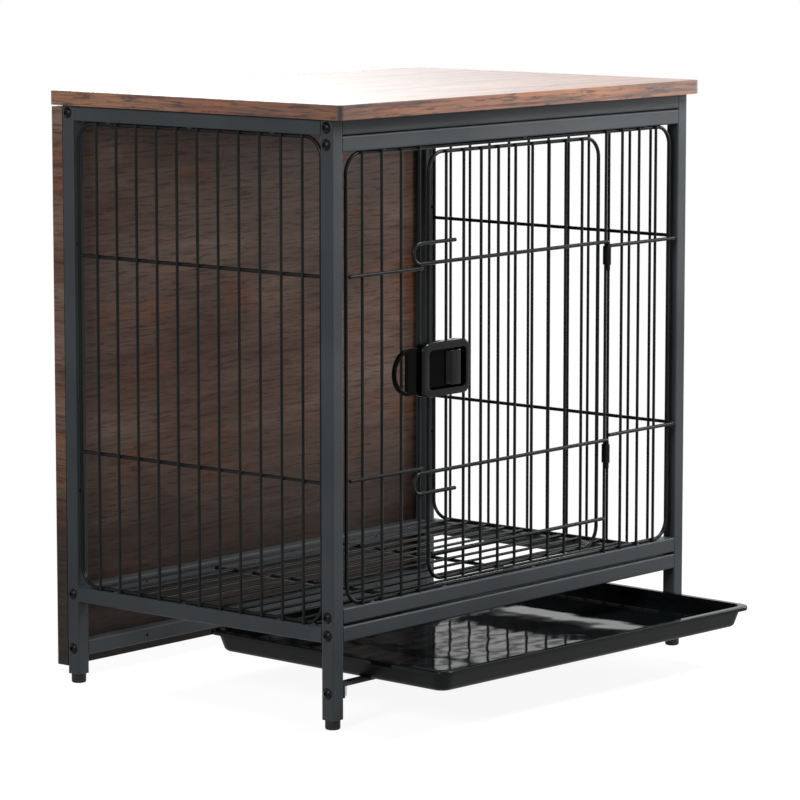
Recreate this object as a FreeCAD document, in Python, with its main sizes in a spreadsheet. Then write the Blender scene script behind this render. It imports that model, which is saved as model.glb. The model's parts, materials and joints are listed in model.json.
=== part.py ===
import FreeCAD, Part
import os
import Sketcher
from FreeCAD import Vector, Rotation

# Dog crate end table: a square-tube frame under a wood top, wood board at the rear,
# wire panels, a wire door with a plastic slide latch, a wire floor and a pull-out tray.
# X runs along the door face, -Y is the door side, Z is up, the feet stand on Z = 0.

os.makedirs("parts", exist_ok=True)
doc = FreeCAD.newDocument("crate")

SIZES = {
    # frame
    "frameWidth": 590, "frameDepth": 376, "topUnderside": 615,
    "tubeSize": 16, "tubeWall": 1.2, "tubeRound": 1.8,
    "footHeight": 10, "footWidth": 15.6, "footRound": 2, "footPlug": 14, "plugGap": 0.1,
    "floorRailCentre": 96.5, "doorRailCentre": 115, "lowRailCentre": 37.5, "railSeam": 1,
    "stripThick": 2, "stripTab": 14,
    # wood
    "boardThick": 15, "topSideLap": 5, "topFrontLap": 14, "topRearLap": 15, "topCorner": 7,
    "edgeBreak": 0.8, "backThick": 15, "backBottom": 18, "backTopGap": 2,
    # wires
    "ringWire": 4, "barWire": 3.2, "weldBite": 0.4, "seatGap": 0.05, "ringBend": 21,
    "sideRingInset": 5, "sideRingGap": 1, "sideBarPitch": 28.67, "sideBars": 11,
    "weldStub": 3, "stubLow": 208, "stubHigh": 470,
    "sideCrossLow": 250, "sideCrossHigh": 458, "sideBarShift": 3.5,
    # front wire panel
    "frontBarInset": 1.8, "frontRingGap": 8, "frontPane": 123.5, "frontShift": -3.5,
    "frontBarPitch": 30, "paneFirstBar": 28.7, "crossPast": 1, "crossClipGap": 0.35,
    "crossLow": 251.8, "crossHigh": 457.5,
    # door
    "doorSideGap": 13.8, "doorFootGap": 10, "doorTopGap": 7.7, "doorBars": 9,
    "doorBarShift": -4, "armLow": 247, "armHigh": 462.3, "armThird": 161.5, "thirdPast": 4,
    "pinForward": 3.9, "hookPitch": 21, "hookPast": 3.5, "hookReturn": 52.5, "pinBend": 3,
    "pinTail": 6, "pinPlay": 0.1, "clipDrop": 5, "clipTall": 20, "clipSheet": 0.8,
    "clipGrip": 0.05,
    # latch, with every X counted from the left edge wire of the opening
    "latchCentreZ": 353.6, "latchLeft": -10.5, "latchRight": 64.5, "latchTall": 56,
    "latchDepth": 12, "latchWall": 2.2, "latchBase": 2, "latchFace": 3.4, "latchCorner": 9,
    "faceRound": 2.6, "windowLeft": -1, "windowRight": 58, "windowTall": 41,
    "windowCorner": 5, "slidePlay": 0.3, "slidePlate": 4, "slideTravel": 6.5,
    "loopRadius": 24, "loopBand": 4, "loopLeft": -49.5, "loopWeb": 18.5,
    "gripLeft": 23, "gripRight": 49, "gripTall": 36, "gripRise": 6,
    "neckLeft": 5.5, "neckWidth": 2.9, "neckTall": 10, "neckPast": 3,
    "backPlateThick": 3, "backPlateTall": 46, "latchScrewX": 31.5,
    "latchScrewZ": 16, "latchScrew": 3.4, "latchScrewHead": 6.4, "latchBoss": 9,
    # floor grid
    "floorWires": 12, "gridFrontGap": 13.55, "gridRearGap": 27.95, "gridEndInset": 8,
    "floorBar": 4, "floorBarSpan": 203.5, "floorBarShift": -5.8,
    # tray
    "traySideGap": 29.5, "trayEndGap": 3, "trayHeight": 22.9, "trayRim": 4.4,
    "rimReach": 5, "rimRound": 1.8, "wallLean": 6, "trayWall": 2, "trayCorner": 15,
    "trayFoot": 6, "trayGap": 0.2, "trayTwist": -2.5, "trayRide": 46,
    # fasteners
    "boltSize": 6, "boltHead": 12, "boltHeadTall": 3.4, "boltLength": 28,
    "hexAcross": 4.2, "hexDeep": 2, "boltPlay": 0.3, "nutLength": 12, "threadPlay": 0.05,
    "nutGap": 0.05, "screwSize": 3.6, "screwHead": 7.6, "screwHeadTall": 2.4, "screwBite": 11,
    "screwPlay": 0.3, "topScrewPitch": 130, "topScrewInset": 3.4, "backScrewHalf": 190,
    "backScrewReach": 12, "screwSunk": 0.2,
}

sheet = doc.addObject("Spreadsheet::Sheet", "dims")
for row, (alias, value) in enumerate(SIZES.items(), start=1):
    sheet.set("A%d" % row, alias)
    sheet.set("B%d" % row, str(value))
    sheet.setAlias("B%d" % row, alias)
doc.recompute()

# Places that many pieces share, as formulas on the sheet.
HALF_W = "dims.frameWidth / 2"
HALF_D = "dims.frameDepth / 2"
POST_X = "(dims.frameWidth - dims.tubeSize) / 2"
POST_Y = "(dims.frameDepth - dims.tubeSize) / 2"
CLEAR_X = "(dims.frameWidth / 2 - dims.tubeSize)"
CLEAR_Y = "(dims.frameDepth / 2 - dims.tubeSize)"
TOP_RAIL = "(dims.topUnderside - dims.tubeSize / 2)"
SECOND_RAIL = "(dims.topUnderside - dims.tubeSize * 1.5 - dims.railSeam)"
FLOOR_TOP = "(dims.floorRailCentre + dims.tubeSize / 2)"
WELD = "((dims.ringWire + dims.barWire) / 2 - dims.weldBite)"
FRONT_BAR_Y = "(-dims.frameDepth / 2 + dims.frontBarInset)"
FRONT_RING_Y = "(%s + %s)" % (FRONT_BAR_Y, WELD)
FRONT_CROSS_Y = "(%s - %s)" % (FRONT_BAR_Y, WELD)
OPENING_HALF = "(%s - dims.frontPane)" % CLEAR_X
OPENING_LEFT = "(dims.frontShift - %s)" % OPENING_HALF
OPENING_RIGHT = "(dims.frontShift + %s)" % OPENING_HALF
DOOR_HALF = "(%s - dims.doorSideGap)" % OPENING_HALF
HOOK_LEFT = "(%s - dims.hookPast)" % OPENING_LEFT
PIN_Y = "(%s - dims.pinForward)" % FRONT_BAR_Y
DOOR_BAR_Y = "(%s + %s)" % (PIN_Y, WELD)
DOOR_RING_Y = "(%s + %s)" % (DOOR_BAR_Y, WELD)
LATCH_REAR = "(%s - dims.barWire / 2 - dims.seatGap)" % DOOR_BAR_Y
LATCH_FRONT = "(%s - dims.latchDepth)" % LATCH_REAR

ALONG_X = Rotation(Vector(0, 1, 0), 90)
ALONG_Y = Rotation(Vector(1, 0, 0), -90)
ALONG_Z = Rotation()
TURNS = {"x": ALONG_X, "y": ALONG_Y, "z": ALONG_Z}

finished = []


def place(item, x, y, z):
    for axis, formula in zip("xyz", (x, y, z)):
        item.setExpression("Placement.Base." + axis, str(formula))


def finish(item, label):
    item.Label = label
    finished.append(item)
    return item


def rod(name, size, length, axis, x, y, z):
    item = doc.addObject("Part::Cylinder", name)
    item.Placement.Rotation = TURNS[axis]
    item.setExpression("Radius", "(%s) / 2" % size)
    item.setExpression("Height", length)
    place(item, x, y, z)
    return item


def block(name, x0, x1, y0, y1, z0, z1):
    item = doc.addObject("Part::Box", name)
    item.setExpression("Length", "(%s) - (%s)" % (x1, x0))
    item.setExpression("Width", "(%s) - (%s)" % (y1, y0))
    item.setExpression("Height", "(%s) - (%s)" % (z1, z0))
    place(item, x0, y0, z0)
    return item


def elbow(name, wire, bend, start, sweep, x, y, z):
    # A bent length of wire in the XZ plane, its start angle counted from +X towards +Z.
    item = doc.addObject("Part::Torus", name)
    item.Placement.Rotation = Rotation(Vector(1, 0, 0), 90) * Rotation(Vector(0, 0, 1), start)
    item.setExpression("Radius1", bend)
    item.setExpression("Radius2", "(%s) / 2" % wire)
    item.Angle3 = sweep
    place(item, x, y, z)
    return item


def joined(name, items):
    item = doc.addObject("Part::MultiFuse", name)
    item.Shapes = items
    item.Refine = False
    return item


def less(name, base, tool):
    item = doc.addObject("Part::Cut", name)
    item.Base = base
    item.Tool = tool
    return item


def group(name, items):
    item = doc.addObject("Part::Compound", name)
    item.Links = items
    return item


def body(name):
    return doc.addObject("PartDesign::Body", name)


def sketch(owner, name, role, offset="0"):
    item = owner.newObject("Sketcher::SketchObject", name)
    plane = [f for f in owner.Origin.OriginFeatures if f.Role == role][0]
    item.AttachmentSupport = [(plane, "")]
    item.MapMode = "FlatFace"
    item.setExpression("AttachmentOffset.Base.z", offset)
    return item


def rectangle(item, x0, x1, y0, y1):
    # A rectangle held by its low corner and its two spans.
    low, high = Vector(-5, -5, 0), Vector(5, 5, 0)
    points = [low, Vector(high.x, low.y, 0), high, Vector(low.x, high.y, 0)]
    first = item.GeometryCount
    for index in range(4):
        item.addGeometry(Part.LineSegment(points[index], points[(index + 1) % 4]), False)
    for index in range(4):
        item.addConstraint(
            Sketcher.Constraint("Coincident", first + index, 2, first + (index + 1) % 4, 1))
    for index, kind in enumerate(("Horizontal", "Vertical", "Horizontal", "Vertical")):
        item.addConstraint(Sketcher.Constraint(kind, first + index))
    held = (
        (Sketcher.Constraint("DistanceX", -1, 1, first, 1, -5), x0),
        (Sketcher.Constraint("DistanceY", -1, 1, first, 1, -5), y0),
        (Sketcher.Constraint("DistanceX", -1, 1, first + 1, 2, 5), x1),
        (Sketcher.Constraint("DistanceY", -1, 1, first + 1, 2, 5), y1),
    )
    for rule, formula in held:
        number = item.addConstraint(rule)
        item.setExpression("Constraints[%d]" % number, formula)


def circle(item, x, y, size):
    number = item.addGeometry(Part.Circle(Vector(1, 1, 0), Vector(0, 0, 1), 2), False)
    held = (
        (Sketcher.Constraint("DistanceX", -1, 1, number, 3, 1), x),
        (Sketcher.Constraint("DistanceY", -1, 1, number, 3, 1), y),
        (Sketcher.Constraint("Diameter", number, 4), size),
    )
    for rule, formula in held:
        index = item.addConstraint(rule)
        item.setExpression("Constraints[%d]" % index, formula)


def pad(owner, name, profile, length):
    item = owner.newObject("PartDesign::Pad", name)
    item.Profile = profile
    item.setExpression("Length", length)
    profile.Visibility = False
    return item


def pocket(owner, name, profile, depth=None, reverse=False):
    item = owner.newObject("PartDesign::Pocket", name)
    item.Profile = profile
    item.Reversed = reverse
    if depth is None:
        item.Type = "ThroughAll"
        item.Midplane = True
    else:
        item.setExpression("Length", depth)
    profile.Visibility = False
    return item


def edges_where(feature, test):
    return ["Edge%d" % (n + 1) for n, e in enumerate(feature.Shape.Edges) if test(e)]


def runs_along_z(edge):
    ends = [v.Point for v in edge.Vertexes]
    return len(ends) == 2 and abs(ends[0].x - ends[1].x) < 1e-6 \
        and abs(ends[0].y - ends[1].y) < 1e-6


def rounded(owner, name, feature, edges, radius, kind="Fillet"):
    item = owner.newObject("PartDesign::" + kind, name)
    item.Base = (feature, edges)
    item.setExpression("Radius" if kind == "Fillet" else "Size", radius)
    return item


def tube(name, length, holes_x=(), holes_y=()):
    # A square tube standing on the origin; holes are given as (across, height, size).
    owner = body(name)
    outline = sketch(owner, name + "_outline", "XY_Plane")
    rectangle(outline, "-dims.tubeSize / 2", "dims.tubeSize / 2",
              "-dims.tubeSize / 2", "dims.tubeSize / 2")
    solid = pad(owner, name + "_pad", outline, length)
    doc.recompute()
    solid = rounded(owner, name + "_round", solid, edges_where(solid, runs_along_z),
                    "dims.tubeRound")
    bore = sketch(owner, name + "_bore", "XY_Plane")
    inner = "(dims.tubeSize / 2 - dims.tubeWall)"
    rectangle(bore, "-" + inner, inner, "-" + inner, inner)
    pocket(owner, name + "_hollow", bore)
    for tag, role, holes in (("x", "YZ_Plane", holes_x), ("y", "XZ_Plane", holes_y)):
        if holes:
            drill = sketch(owner, name + "_drill_" + tag, role)
            for across, height, size in holes:
                circle(drill, across, height, size)
            pocket(owner, name + "_holes_" + tag, drill)
    return owner


TOP_SCREW_X = "(%s - dims.topScrewInset)" % POST_X
BOLT_HOLE = "dims.boltSize + 2 * dims.boltPlay"
SCREW_BORE = "dims.screwSize + 2 * dims.threadPlay"
SCREW_HOLE = "dims.screwSize + 2 * dims.screwPlay"
FRONT_BOLTS = {
    "front_top": TOP_RAIL, "door_top": SECOND_RAIL, "door_bottom": "dims.doorRailCentre",
    "front_floor": "dims.floorRailCentre", "strip": "dims.lowRailCentre",
}
REAR_BOLTS = {
    "rear_top": TOP_RAIL, "rear_floor": "dims.floorRailCentre",
    "rear_low": "dims.lowRailCentre",
}


def post(side, end):
    heights = FRONT_BOLTS if end == "front" else REAR_BOLTS
    holes = [("0", "%s - dims.footHeight" % z, BOLT_HOLE) for z in heights.values()]
    name = "post_%s_%s" % (end, side)
    owner = tube(name, "dims.topUnderside - dims.footHeight", holes_x=holes)
    sign_x = "-" if side == "left" else ""
    sign_y = "-" if end == "front" else ""
    place(owner, sign_x + POST_X, sign_y + POST_Y, "dims.footHeight")
    finish(owner, name)


def foot(side, end):
    name = "foot_%s_%s" % (end, side)
    owner = body(name)
    disc = sketch(owner, name + "_disc", "XY_Plane")
    circle(disc, "0", "0", "dims.footWidth")
    solid = pad(owner, name + "_pad", disc, "dims.footHeight")
    doc.recompute()
    low = edges_where(solid, lambda e: e.CenterOfMass.z < 0.01)
    rounded(owner, name + "_round", solid, low, "dims.footRound")
    plug = sketch(owner, name + "_plug", "XY_Plane", "dims.footHeight")
    half = "(dims.tubeSize / 2 - dims.tubeWall - dims.plugGap)"
    rectangle(plug, "-" + half, half, "-" + half, half)
    pad(owner, name + "_stem", plug, "dims.footPlug")
    sign_x = "-" if side == "left" else ""
    sign_y = "-" if end == "front" else ""
    place(owner, sign_x + POST_X, sign_y + POST_Y, "0")
    finish(owner, name)


def side_rail(name, side, centre, screws=False):
    span = "(2 * %s)" % CLEAR_Y
    holes = []
    if screws:
        inward = "" if side == "left" else "-"
        holes = [(inward + "dims.topScrewInset",
                  "%s / 2 + %d * dims.topScrewPitch" % (span, n), SCREW_HOLE)
                 for n in (-1, 0, 1)]
    owner = tube(name, span, holes_y=holes)
    owner.Placement.Rotation = ALONG_Y
    sign = "-" if side == "left" else ""
    place(owner, sign + POST_X, "-" + CLEAR_Y, centre)
    finish(owner, name)


def cross_rail(name, end, centre, screws=False):
    span = "(2 * %s)" % CLEAR_X
    holes = []
    if screws:
        holes = [("0", "%s / 2 + %d * dims.backScrewHalf" % (span, n), SCREW_BORE)
                 for n in (-1, 1)]
    owner = tube(name, span, holes_y=holes)
    owner.Placement.Rotation = ALONG_X
    sign = "-" if end == "front" else ""
    place(owner, "-" + CLEAR_X, sign + POST_Y, centre)
    finish(owner, name)


def tray_strip():
    # A flat strip between the front posts with its two ends bent down and bolted.
    name = "tray_strip"
    owner = body(name)
    top = "(dims.lowRailCentre + dims.tubeSize / 2)"
    face = sketch(owner, name + "_face", "XY_Plane", "%s - dims.stripThick" % top)
    rectangle(face, "-%s" % CLEAR_X, CLEAR_X, "-%s" % HALF_D, "-%s" % CLEAR_Y)
    pad(owner, name + "_pad", face, "dims.stripThick")
    ends = sketch(owner, name + "_ends", "XY_Plane", "%s - dims.stripTab" % top)
    inner = "(%s - dims.stripThick)" % CLEAR_X
    rectangle(ends, "-%s" % CLEAR_X, "-%s" % inner, "-%s" % HALF_D, "-%s" % CLEAR_Y)
    rectangle(ends, inner, CLEAR_X, "-%s" % HALF_D, "-%s" % CLEAR_Y)
    pad(owner, name + "_tabs", ends, "dims.stripTab - dims.stripThick / 2")
    drill = sketch(owner, name + "_drill", "YZ_Plane")
    circle(drill, "-%s" % POST_Y, "dims.lowRailCentre", BOLT_HOLE)
    pocket(owner, name + "_holes", drill)
    finish(owner, name)


def tabletop():
    name = "tabletop"
    owner = body(name)
    outline = sketch(owner, name + "_outline", "XY_Plane", "dims.topUnderside")
    side = "(%s + dims.topSideLap)" % HALF_W
    rectangle(outline, "-" + side, side, "-%s - dims.topFrontLap" % HALF_D,
              "%s + dims.topRearLap" % HALF_D)
    solid = pad(owner, name + "_pad", outline, "dims.boardThick")
    doc.recompute()
    solid = rounded(owner, name + "_corners", solid, edges_where(solid, runs_along_z),
                    "dims.topCorner")
    doc.recompute()
    high = SIZES["topUnderside"] + SIZES["boardThick"]
    top = edges_where(solid, lambda e: e.CenterOfMass.z > high - 0.01)
    rounded(owner, name + "_edge", solid, top, "dims.edgeBreak", "Chamfer")
    pilots = sketch(owner, name + "_pilots", "XY_Plane", "dims.topUnderside")
    for sign in ("-", ""):
        for n in (-1, 0, 1):
            circle(pilots, sign + TOP_SCREW_X, "%d * dims.topScrewPitch" % n,
                   "dims.screwSize + 2 * dims.threadPlay")
    pocket(owner, name + "_pilot_holes", pilots, "dims.screwBite + dims.screwPlay", True)
    finish(owner, name)


def back_panel():
    name = "back_panel"
    owner = body(name)
    outline = sketch(owner, name + "_outline", "XY_Plane", "dims.backBottom")
    rectangle(outline, "-" + HALF_W, HALF_W, HALF_D, "%s + dims.backThick" % HALF_D)
    pad(owner, name + "_pad", outline,
        "dims.topUnderside - dims.backTopGap - dims.backBottom")
    drill = sketch(owner, name + "_drill", "XZ_Plane")
    sinks = sketch(owner, name + "_sinks", "XZ_Plane", "-(%s + dims.backThick)" % HALF_D)
    for z in REAR_BOLTS.values():
        for n in (-1, 1):
            circle(drill, "%d * dims.backScrewHalf" % n, z, SCREW_HOLE)
            circle(sinks, "%d * dims.backScrewHalf" % n, z,
                   "dims.screwHead + 2 * dims.screwPlay")
    pocket(owner, name + "_holes", drill)
    pocket(owner, name + "_sink_holes", sinks, "dims.screwHeadTall + dims.screwSunk", True)
    finish(owner, name)


def wire_ring(tag, half, low, high, level):
    # A closed ring of bent wire in the XZ plane, given by its centre line.
    wire, bend = "dims.ringWire", "dims.ringBend"
    span, rise = "(%s - %s)" % (half, bend), "(%s - %s - 2 * %s)" % (high, low, bend)
    left, right = "-%s" % span, span
    bottom, top = "(%s + %s)" % (low, bend), "(%s - %s)" % (high, bend)
    return [
        rod(tag + "_low", wire, "2 * " + span, "x", left, level, low),
        rod(tag + "_high", wire, "2 * " + span, "x", left, level, high),
        rod(tag + "_left", wire, rise, "z", "-" + half, level, bottom),
        rod(tag + "_right", wire, rise, "z", half, level, bottom),
        elbow(tag + "_bend_a", wire, bend, 0, 90, right, level, top),
        elbow(tag + "_bend_b", wire, bend, 90, 90, left, level, top),
        elbow(tag + "_bend_c", wire, bend, 180, 90, left, level, bottom),
        elbow(tag + "_bend_d", wire, bend, 270, 90, right, level, bottom),
    ]


def upright(tag, x, y, low, high):
    # A bar over the whole ring height, its tips just inside the rails above and below.
    reach = "(dims.ringWire / 2 - 2 * dims.seatGap)"
    return rod(tag, "dims.barWire", "%s - %s + 2 * %s" % (high, low, reach), "z",
               x, y, "%s - %s" % (low, reach))


def side_panel(side):
    name = "wire_panel_" + side
    half = "(%s - dims.sideRingGap - dims.ringWire / 2)" % CLEAR_Y
    low = "(%s + dims.ringWire / 2 + dims.seatGap)" % FLOOR_TOP
    high = "(dims.topUnderside - dims.tubeSize - dims.ringWire / 2 - dims.seatGap)"
    items = wire_ring(name, half, low, high, "0")
    bars = SIZES["sideBars"]
    for n in range(bars):
        x = "%g * dims.sideBarPitch + dims.sideBarShift" % (n - (bars - 1) / 2)
        items.append(upright("%s_bar%d" % (name, n), x, "-" + WELD, low, high))
    for level in ("sideCrossLow", "sideCrossHigh"):
        items.append(rod(name + "_" + level, "dims.ringWire", "2 * " + half, "x",
                         "-" + half, "0", "dims." + level))
    for level in ("stubLow", "stubHigh"):
        for end, start in (("a", "-(%s - dims.seatGap)" % CLEAR_Y), ("b", half)):
            items.append(rod("%s_%s%s" % (name, level, end), "dims.weldStub",
                             "%s - dims.seatGap - %s" % (CLEAR_Y, half), "x",
                             start, "0", "dims." + level))
    panel = joined(name, items)
    turn, sign = (-90, "-") if side == "left" else (90, "")
    panel.Placement.Rotation = Rotation(Vector(0, 0, 1), turn)
    place(panel, "%s(%s - dims.sideRingInset)" % (sign, HALF_W), "0", "0")
    finish(panel, name)


def front_panel():
    name = "wire_panel_front"
    half = "(%s - dims.frontRingGap - dims.ringWire / 2)" % CLEAR_X
    low = "(dims.doorRailCentre + (dims.tubeSize + dims.ringWire) / 2 + dims.seatGap)"
    high = "(%s - (dims.tubeSize + dims.ringWire) / 2 - dims.seatGap)" % SECOND_RAIL
    items = wire_ring(name, half, low, high, FRONT_RING_Y)
    for side, sign, edge in (("l", "-", OPENING_LEFT), ("r", "+", OPENING_RIGHT)):
        items.append(upright("%s_edge_%s" % (name, side), edge, FRONT_BAR_Y, low, high))
        for n in range(3):
            x = "dims.frontShift %s (%s + dims.paneFirstBar + %d * dims.frontBarPitch)" % (
                sign, OPENING_HALF, n)
            items.append(upright("%s_bar_%s%d" % (name, side, n), x, FRONT_BAR_Y, low, high))
    right_start = "(%s + dims.ringWire / 2 + dims.pinPlay + dims.clipSheet" \
        " + dims.crossClipGap)" % OPENING_RIGHT
    tip = "(%s + dims.ringWire / 2)" % half
    for level in ("crossLow", "crossHigh"):
        height = "dims." + level
        items.append(rod("%s_%s_l" % (name, level), "dims.ringWire",
                         "%s + %s + dims.crossPast" % (tip, OPENING_LEFT), "x",
                         "-" + tip, FRONT_CROSS_Y, height))
        items.append(rod("%s_%s_r" % (name, level), "dims.ringWire",
                         "%s - %s" % (tip, right_start), "x",
                         right_start, FRONT_CROSS_Y, height))
    finish(joined(name, items), name)


def door():
    name = "door"
    low = "(dims.doorRailCentre + dims.tubeSize / 2 + dims.doorFootGap)"
    high = "(%s - dims.tubeSize / 2 - dims.doorTopGap)" % SECOND_RAIL
    items = wire_ring(name, DOOR_HALF, low, high, DOOR_RING_Y)
    bars = SIZES["doorBars"]
    for n in range(bars):
        x = "%g * %s * 2 / %d + dims.doorBarShift" % (n - (bars - 1) / 2, DOOR_HALF, bars + 1)
        items.append(upright("%s_bar%d" % (name, n), x, DOOR_BAR_Y, low, high))
    wire, bend = "dims.ringWire", "dims.pinBend"
    hinge = OPENING_RIGHT
    for tag, height, turn in (("armHigh", "dims.armHigh", 1), ("armLow", "dims.armLow", -1)):
        # Hooked end at the latch side, pin end bent down at the hinge side.
        hook = "(dims.hookPitch / 2)"
        items.append(rod(name + "_" + tag, wire, "%s - %s - %s" % (hinge, bend, HOOK_LEFT),
                         "x", HOOK_LEFT, PIN_Y, height))
        items.append(elbow(name + "_hook_" + tag, wire, hook, 90, 180, HOOK_LEFT,
                           PIN_Y, "%s + %d * %s" % (height, turn, hook)))
        items.append(rod(name + "_return_" + tag, wire, "dims.hookPast + dims.hookReturn",
                         "x", HOOK_LEFT, PIN_Y,
                         "%s + %d * dims.hookPitch" % (height, turn)))
        items.append(elbow(name + "_bend_" + tag, wire, bend, 0, 90,
                           "%s - %s" % (hinge, bend), PIN_Y, "%s - %s" % (height, bend)))
        tail = "dims.clipDrop + dims.clipTall + dims.pinTail - %s" % bend
        items.append(rod(name + "_pin_" + tag, wire, tail, "z", hinge, PIN_Y,
                         "%s - dims.clipDrop - dims.clipTall - dims.pinTail" % height))
    items.append(rod(name + "_third", wire,
                     "2 * %s + dims.ringWire / 2 + dims.thirdPast" % DOOR_HALF, "x",
                     "-%s - dims.ringWire / 2" % DOOR_HALF, PIN_Y, "dims.armThird"))
    finish(joined(name, items), name)


def hinge_clip(name, arm):
    # A sheet sleeve closed round the door's pin and the edge wire of the opening.
    top = "(dims.%s - dims.clipDrop)" % arm
    low = "(%s - dims.clipTall)" % top
    hinge = OPENING_RIGHT
    pin = "(dims.ringWire / 2 + dims.pinPlay)"
    grip = "(dims.barWire / 2 + dims.clipGrip)"
    shell = "(%s + dims.clipSheet)" % pin
    outer = joined(name + "_outer", [
        rod(name + "_a", "2 * " + shell, "dims.clipTall", "z", hinge, PIN_Y, low),
        rod(name + "_b", "2 * " + shell, "dims.clipTall", "z", hinge, FRONT_BAR_Y, low),
        block(name + "_c", "%s - %s" % (hinge, shell), "%s + %s" % (hinge, shell),
              PIN_Y, FRONT_BAR_Y, low, top),
    ])
    inner = joined(name + "_inner", [
        rod(name + "_d", "2 * " + pin, "dims.clipTall", "z", hinge, PIN_Y, low),
        rod(name + "_e", "2 * " + grip, "dims.clipTall", "z", hinge, FRONT_BAR_Y, low),
        block(name + "_f", "%s - dims.barWire / 4" % hinge, "%s + dims.barWire / 4" % hinge,
              PIN_Y, FRONT_BAR_Y, low, top),
    ])
    finish(less(name, outer, inner), name)


def floor_grid():
    name = "floor_grid"
    level = "(%s + dims.seatGap + dims.barWire / 2)" % FLOOR_TOP
    half = "(%s - dims.gridEndInset)" % HALF_W
    front = "(dims.gridFrontGap - %s)" % CLEAR_Y
    span = "(2 * %s - dims.gridFrontGap - dims.gridRearGap)" % CLEAR_Y
    count = SIZES["floorWires"]
    items = []
    for n in range(count):
        y = "%s + %d * %s / %d" % (front, n, span, count - 1)
        items.append(rod("%s_wire%d" % (name, n), "dims.barWire", "2 * " + half, "x",
                         "-" + half, y, level))
    under = "(%s - (dims.barWire + dims.floorBar) / 2 + dims.weldBite)" % level
    for tag, sign in (("a", "-"), ("b", "+")):
        items.append(rod("%s_bar_%s" % (name, tag), "dims.floorBar",
                         "%s + 2 * dims.barWire" % span, "y",
                         "dims.floorBarShift %s dims.floorBarSpan / 2" % sign,
                         "%s - dims.barWire" % front, under))
    finish(joined(name, items), name)


LATCH_MID = "dims.latchCentreZ"
CAVITY_HALF = "(dims.latchTall / 2 - dims.latchWall)"
SLIDE_REAR = "(%s - dims.latchBase - dims.slidePlay)" % LATCH_REAR
SLIDE_FRONT = "(%s - dims.slidePlate)" % SLIDE_REAR
LATCH_LEFT = "(%s + dims.latchLeft)" % OPENING_LEFT
LATCH_RIGHT = "(%s + dims.latchRight)" % OPENING_LEFT
LATCH_SCREW_X = "(%s + dims.latchScrewX)" % OPENING_LEFT
NECK_LEFT = "(%s + dims.neckLeft)" % OPENING_LEFT


def box_cut(owner, name, x0, x1, z0, z1, start, depth):
    # A pocket cut forward (towards the door side) from a plane at the given Y.
    outline = sketch(owner, name, "XZ_Plane", "-(%s)" % start)
    rectangle(outline, x0, x1, z0, z1)
    return pocket(owner, name + "_cut", outline, depth, True)


def latch_housing():
    name = "latch_housing"
    owner = body(name)
    low, high = "%s - dims.latchTall / 2" % LATCH_MID, "%s + dims.latchTall / 2" % LATCH_MID
    outline = sketch(owner, name + "_outline", "XZ_Plane", "-(%s)" % LATCH_REAR)
    rectangle(outline, LATCH_LEFT, LATCH_RIGHT, low, high)
    solid = pad(owner, name + "_pad", outline, "dims.latchDepth")
    doc.recompute()
    along_y = edges_where(solid, lambda e: e.BoundBox.YLength > 1)
    solid = rounded(owner, name + "_corners", solid, along_y, "dims.latchCorner")
    doc.recompute()
    front = min(v.Y for v in solid.Shape.Vertexes)
    rim = edges_where(solid, lambda e: e.CenterOfMass.y < front + 0.01)
    rounded(owner, name + "_face_round", solid, rim, "dims.faceRound")
    # Tunnel for the slider, open at the left end only.
    box_cut(owner, name + "_tunnel", LATCH_LEFT + " - 1", LATCH_RIGHT + " - dims.latchWall",
            "%s - %s" % (LATCH_MID, CAVITY_HALF), "%s + %s" % (LATCH_MID, CAVITY_HALF),
            "%s - dims.latchBase" % LATCH_REAR,
            "dims.latchDepth - dims.latchBase - dims.latchFace")
    window = box_cut(owner, name + "_window", "%s + dims.windowLeft" % OPENING_LEFT,
                     "%s + dims.windowRight" % OPENING_LEFT,
                     "%s - dims.windowTall / 2" % LATCH_MID,
                     "%s + dims.windowTall / 2" % LATCH_MID,
                     "%s + dims.latchFace + 0.1" % LATCH_FRONT, "dims.latchFace + 0.2")
    doc.recompute()
    start = min(v.X for v in window.Shape.Vertexes) - SIZES["latchLeft"]
    ends = [start + SIZES["windowLeft"], start + SIZES["windowRight"]]
    corners = edges_where(window, lambda e: len(e.Vertexes) == 2
                          and abs(e.BoundBox.YLength - SIZES["latchFace"]) < 0.01
                          and min(abs(e.CenterOfMass.x - x) for x in ends) < 0.01)
    rounded(owner, name + "_window_round", window, corners, "dims.windowCorner")
    box_cut(owner, name + "_slot", "%s - dims.slidePlay" % NECK_LEFT,
            "%s + dims.neckWidth + dims.slideTravel + dims.slidePlay" % NECK_LEFT,
            "%s - dims.neckTall / 2 - dims.slidePlay" % LATCH_MID,
            "%s + dims.neckTall / 2 + dims.slidePlay" % LATCH_MID,
            LATCH_REAR, "dims.latchBase")
    bosses = sketch(owner, name + "_bosses", "XZ_Plane", "-(%s)" % LATCH_REAR)
    for sign in ("-", "+"):
        circle(bosses, LATCH_SCREW_X, "%s %s dims.latchScrewZ" % (LATCH_MID, sign),
               "dims.latchBoss")
    stand = pad(owner, name + "_stand", bosses, "%s + dims.ringWire / 2 - (%s)" %
                (DOOR_RING_Y, LATCH_REAR))
    stand.Reversed = True
    drill = sketch(owner, name + "_drill", "XZ_Plane",
                   "-(%s + dims.ringWire / 2)" % DOOR_RING_Y)
    for sign in ("-", "+"):
        circle(drill, LATCH_SCREW_X, "%s %s dims.latchScrewZ" % (LATCH_MID, sign),
               "dims.latchScrew + 2 * dims.threadPlay")
    pocket(owner, name + "_screw_holes", drill,
           "%s + dims.ringWire / 2 - (%s) + dims.latchBase" % (DOOR_RING_Y, LATCH_REAR), True)
    finish(owner, name)


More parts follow.
